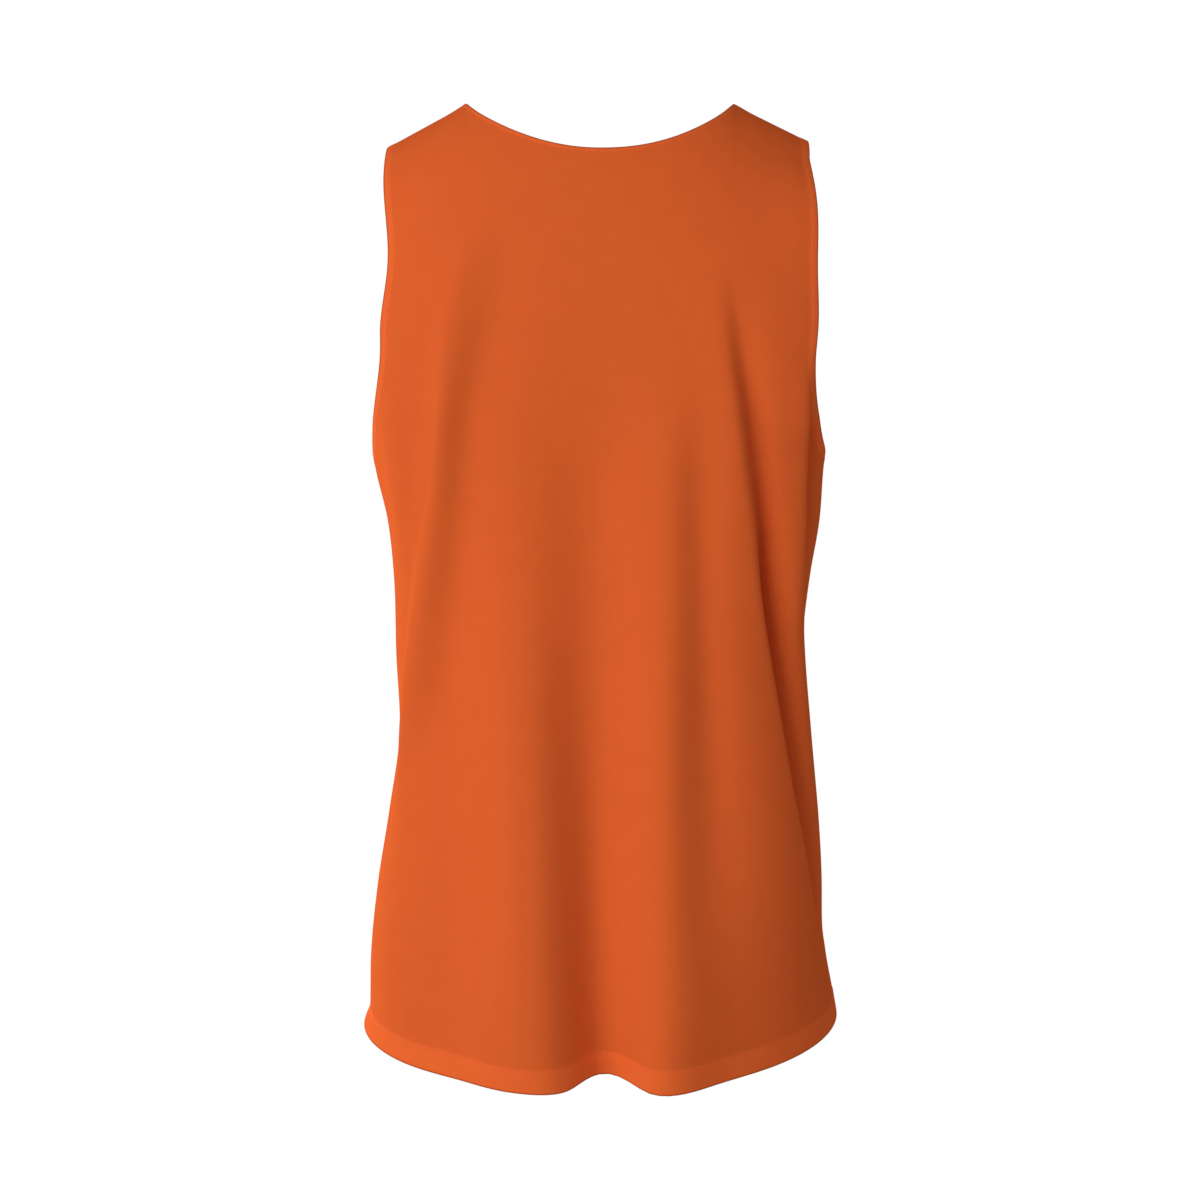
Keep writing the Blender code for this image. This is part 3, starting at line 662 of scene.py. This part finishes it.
# ---- Front panel ----
# Same knit, cut with a deeper neckline. It hangs from the chest in flutes of its own.
FRONT_NECK_DROP = 112 * MM
FRONT_FOLDS = (
    # flutes that hang from the chest
    Fold(2, 2, (
        Row(-0.240, 0.070, 0.000, 0.030, 0.040),
        Row(-0.400, 0.072, 0.005, 0.030, 0.036),
        Row(-0.570, 0.068, 0.011, 0.030, 0.030),
        Row(-0.700, 0.064, 0.011, 0.030, 0.030),
    )),
    Fold(2, 2, (
        Row(-0.200, 0.014, 0.000, 0.036, 0.036),
        Row(-0.330, 0.012, -0.005, 0.030, 0.030),
        Row(-0.500, 0.010, -0.009, 0.026, 0.026),
        Row(-0.700, 0.013, -0.018, 0.024, 0.024),
    )),
    Fold(2, 2, (
        Row(-0.250, -0.046, 0.000, 0.026, 0.026),
        Row(-0.420, -0.044, 0.007, 0.026, 0.024),
        Row(-0.570, -0.040, 0.011, 0.026, 0.024),
        Row(-0.700, -0.040, 0.012, 0.026, 0.028),
    )),
    Fold(2, 2, (
        Row(-0.420, -0.084, 0.000, 0.020, 0.022),
        Row(-0.570, -0.088, -0.005, 0.020, 0.022),
        Row(-0.700, -0.090, -0.010, 0.020, 0.024),
    )),
    # ridges of the front from the armholes towards the waist
    Fold(3, 2, (
        Row(-0.150, 0.106, 0.000, 0.012, 0.018),
        Row(-0.220, 0.114, 0.007, 0.012, 0.018),
        Row(-0.300, 0.124, 0.010, 0.012, 0.020),
        Row(-0.400, 0.138, 0.009, 0.014, 0.022),
        Row(-0.520, 0.158, 0.000, 0.016, 0.024),
    )),
    Fold(2, 5, (
        Row(-0.140, -0.086, 0.000, 0.020, 0.022),
        Row(-0.220, -0.094, 0.008, 0.020, 0.022),
        Row(-0.300, -0.102, 0.011, 0.020, 0.026),
        Row(-0.400, -0.112, 0.011, 0.022, 0.032),
        Row(-0.500, -0.126, 0.008, 0.024, 0.040),
        Row(-0.600, -0.140, 0.000, 0.026, 0.050),
    )),
)
front, front_surface = add_panel("front_cloth", "front", FRONT_NECK_DROP, FRONT_FOLDS, orange_knit)
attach(front, "root")
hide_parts("front_panel")


# ---- Stitches ----
# One row of lockstitch in orange thread holds down the turned hem, the neckline and each armhole. The
# stitches are pressed a little into the cloth, in the dent that they pull.
STITCH_PITCH = 3.2 * MM       # from one stitch to the next
STITCH_LENGTH = 2.5 * MM
THREAD = 0.5 * MM             # thickness of the thread
TWIST = 0.5236 * MM           # from one ply of the twisted thread to the next
TWIST_RISE = 0.05 * MM
THREAD_LIFT = 0.3             # how far a stitch's middle stands off the cloth, in thicknesses of thread,
THREAD_DIP = 0.5              # and how much lower its ends are
STITCH_SIDES = 6
STITCH_RINGS = np.linspace(-0.9, 0.9, 5)                # places of a stitch's rings along its half length
ARM_SEWN_ROWS = slice(ARMPIT_ROW + 4, -6)               # rows that an armhole's sewing passes


def first_beyond(values, limit):
    """Along each column of values, the place where they first rise past a limit: the row below it, and
    the share of the way from that row to the next."""
    after = np.clip((values > limit).argmax(axis=0), 1, None)
    each = np.arange(values.shape[1])
    low, high = values[after - 1, each], values[after, each]
    return after - 1, (limit - low) / (high - low)


def edge_row(surface, normal, distance, sewn):
    """Points and normals of the row of sewing that runs at the distance "sewn" from an edge. Each
    column of the three grids starts at the edge."""
    row, share = first_beyond(distance, sewn)
    each = np.arange(distance.shape[1])
    share = share[:, None]
    return [grid[row, each] * (1 - share) + grid[row + 1, each] * share for grid in (surface, normal)]


def sewing_rows(surface, normal):
    """Rows of sewing of a panel: above the hem, below the neckline and inside both armholes."""
    hem, _, arm, neck, _ = edge_distances(surface)
    rows = [edge_row(surface, normal, hem, HEM_SEWN)]
    top = (slice(-1, -NEAR_NECK - 1, -1), NECK_EDGE)
    rows.append(edge_row(surface[top], normal[top], neck[top], NECK_SEWN))
    for inward in (slice(0, NEAR_ARM - 1), slice(-1, -NEAR_ARM, -1)):
        beside = [grid[ARM_SEWN_ROWS, inward].swapaxes(0, 1) for grid in (surface, normal, arm)]
        rows.append(edge_row(*beside, ARM_SEWN))
    return rows


def stitch_ring(position):
    """Radius of a stitch at a place from -1 to 1 of its half length: an ellipse."""
    return THREAD / 2 * np.sqrt(1 - position**2)


def stitches(points, normal):
    """Points of the stitches along a row: capsules of rings between two poles. A stitch follows the row,
    and its ends dip into the cloth by a square law."""
    place = np.insert(np.cumsum(np.linalg.norm(np.diff(points, axis=0), axis=1)), 0, 0)
    middle = np.arange(STITCH_PITCH, place[-1] - STITCH_PITCH / 2, STITCH_PITCH)
    across = np.concatenate([[-1], STITCH_RINGS, [1]])
    at = middle[:, None] + across * STITCH_LENGTH / 2
    spots = np.stack([np.interp(at, place, points[:, axis]) for axis in range(3)], axis=-1)
    up = unit(np.stack([np.interp(middle, place, normal[:, axis]) for axis in range(3)], axis=-1))
    along = unit(spots[:, -1] - spots[:, 0])
    sideways = np.cross(up, along)
    core = spots + (THREAD * (THREAD_LIFT - THREAD_DIP * across**2))[:, None] * up[:, None, :]
    turn = np.arange(STITCH_SIDES) * 2 * np.pi / STITCH_SIDES
    spokes = np.cos(turn)[:, None] * sideways[:, None, :] + np.sin(turn)[:, None] * up[:, None, :]
    rings = core[:, 1:-1, None] + stitch_ring(STITCH_RINGS)[:, None, None] * spokes[:, None]
    return np.concatenate([rings.reshape(len(middle), -1, 3), core[:, [0, -1]]], axis=1)


def stitch_faces():
    """Faces of one stitch: quads between its rings, and triangles to its two poles."""
    rings = np.arange(len(STITCH_RINGS) * STITCH_SIDES).reshape(len(STITCH_RINGS), STITCH_SIDES)
    after = np.roll(rings, -1, axis=1)
    faces = np.stack([rings[:-1], after[:-1], after[1:], rings[1:]], axis=-1).reshape(-1, 4).tolist()
    start, end = rings.size, rings.size + 1
    faces += [[start, b, a] for a, b in zip(rings[0].tolist(), after[0].tolist())]
    faces += [[end, a, b] for a, b in zip(rings[-1].tolist(), after[-1].tolist())]
    return faces


def add_stitches(name, surface, facing, material):
    """All the stitches of a panel as one piece."""
    outward = normals(surface * (1, facing, 1)) * (1, facing, 1)
    points = np.concatenate([stitches(*row) for row in sewing_rows(surface, outward)])
    faces = [[corner + k * points.shape[1] for corner in face]
             for k in range(len(points)) for face in stitch_faces()]
    return add_mesh(name, points.reshape(-1, 3), faces, material)


def thread(name, colour):
    """Twisted polyester thread: the knit's colour, a little glossier, with a fine slanting twist."""
    material = bpy.data.materials.new(name)
    material.use_nodes = True
    nodes, links = material.node_tree.nodes, material.node_tree.links
    shader = nodes["Principled BSDF"]
    shader.inputs["Base Color"].default_value = (*colour, 1)
    shader.inputs["Roughness"].default_value = 0.5
    shader.inputs["Specular IOR Level"].default_value = 0.3
    place = nodes.new("ShaderNodeTexCoord")
    twist = nodes.new("ShaderNodeTexWave")
    twist.bands_direction = "DIAGONAL"
    twist.inputs["Scale"].default_value = WAVE / TWIST
    bump = nodes.new("ShaderNodeBump")
    bump.inputs["Strength"].default_value = 0.3
    bump.inputs["Distance"].default_value = TWIST_RISE
    links.new(place.outputs["Object"], twist.inputs["Vector"])
    links.new(twist.outputs["Fac"], bump.inputs["Height"])
    links.new(bump.outputs[0], shader.inputs["Normal"])
    return material


orange_thread = thread("orange thread", (0.80, 0.14, 0.032))
back_stitches = add_stitches("back_stitches", back_surface, 1, orange_thread)
front_stitches = add_stitches("front_stitches", front_surface, -1, orange_thread)
for sewing in (back_stitches, front_stitches):
    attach(sewing, "root")


# ---- Room, light and camera ----
# A plain pale floor far below, which fades into the white all round, and soft light from the
# wearer's left. The camera stands behind the jersey at shoulder height and looks slightly down.
FLOOR_Z = -1.45
FLOOR_RADIUS = 9.0
FLOOR_CORNERS = 96
FADE_FROM, FADE_TO = 0.5, 1.25          # distances from the jersey over which the floor fades into white
MIDDLE = (0, 0, -0.36)                  # middle of the jersey, which the lamps face
EYE = (0, 1.60, -0.10)                  # place of the camera,
AIM = (0, 0, -0.3665)                   # and the point that it is turned to
ROOM_LIGHT = 0.38                       # strength of the white all round, on the jersey
turn = np.arange(FLOOR_CORNERS) * 2 * np.pi / FLOOR_CORNERS
rim = np.stack([FLOOR_RADIUS * np.cos(turn), FLOOR_RADIUS * np.sin(turn), 0 * turn + FLOOR_Z], axis=-1)
floor_mesh = bpy.data.meshes.new("floor")
floor_mesh.from_pydata(rim.tolist(), [], [list(range(FLOOR_CORNERS))])
floor = bpy.data.objects.new("floor", floor_mesh)
bpy.context.collection.objects.link(floor)
paint = bpy.data.materials.new("pale floor")
paint.use_nodes = True
nodes, links = paint.node_tree.nodes, paint.node_tree.links
nodes["Principled BSDF"].inputs["Base Color"].default_value = (0.86, 0.86, 0.86, 1)
nodes["Principled BSDF"].inputs["Roughness"].default_value = 0.9
glow = nodes.new("ShaderNodeEmission")
place = nodes.new("ShaderNodeTexCoord")
distance = nodes.new("ShaderNodeVectorMath")
distance.operation = "LENGTH"
flat_place = nodes.new("ShaderNodeVectorMath")
flat_place.operation = "MULTIPLY"
flat_place.inputs[1].default_value = (1, 1, 0)
fade = nodes.new("ShaderNodeMapRange")
fade.interpolation_type = "SMOOTHSTEP"
fade.inputs["From Min"].default_value = FADE_FROM
fade.inputs["From Max"].default_value = FADE_TO
blend = nodes.new("ShaderNodeMixShader")
links.new(place.outputs["Object"], flat_place.inputs[0])
links.new(flat_place.outputs[0], distance.inputs[0])
links.new(distance.outputs["Value"], fade.inputs["Value"])
links.new(fade.outputs[0], blend.inputs[0])
links.new(nodes["Principled BSDF"].outputs[0], blend.inputs[1])
links.new(glow.outputs[0], blend.inputs[2])
links.new(blend.outputs[0], nodes["Material Output"].inputs["Surface"])
floor_mesh.materials.append(paint)
floor.visible_diffuse = False
floor.visible_glossy = False


def soft_light(name, place, size, power):
    """A square lamp of that width, turned to the middle of the jersey."""
    lamp = bpy.data.lights.new(name, "AREA")
    lamp.size, lamp.energy = size, power
    holder = bpy.data.objects.new(name, lamp)
    holder.location = place
    holder.rotation_euler = (Vector(MIDDLE) - Vector(place)).to_track_quat("-Z", "Y").to_euler()
    bpy.context.collection.objects.link(holder)


soft_light("back key", place=(1.57, 1.87, 0.16), size=2.2, power=41)
soft_light("side light", place=(1.50, -1.40, -1.40), size=1.0, power=50)
soft_light("front key", place=(1.1, -2.4, 0.4), size=1.8, power=14)

world = bpy.data.worlds.new("white room")
world.use_nodes = True
bpy.context.scene.world = world
nodes, links = world.node_tree.nodes, world.node_tree.links
seen = nodes.new("ShaderNodeLightPath")
strength = nodes.new("ShaderNodeMapRange")
strength.inputs["To Min"].default_value = ROOM_LIGHT
strength.inputs["To Max"].default_value = 1.0
nodes["Background"].inputs["Color"].default_value = (1, 1, 1, 1)
links.new(seen.outputs["Is Camera Ray"], strength.inputs["Value"])
links.new(strength.outputs[0], nodes["Background"].inputs["Strength"])
bpy.context.scene.view_settings.view_transform = "Standard"

camera = bpy.data.cameras.new("camera")
camera.lens, camera.sensor_width = 64.2, 36
holder = bpy.data.objects.new("camera", camera)
holder.location = EYE
holder.rotation_euler = (Vector(AIM) - Vector(EYE)).to_track_quat("-Z", "Y").to_euler()
bpy.context.collection.objects.link(holder)
bpy.context.scene.camera = holder
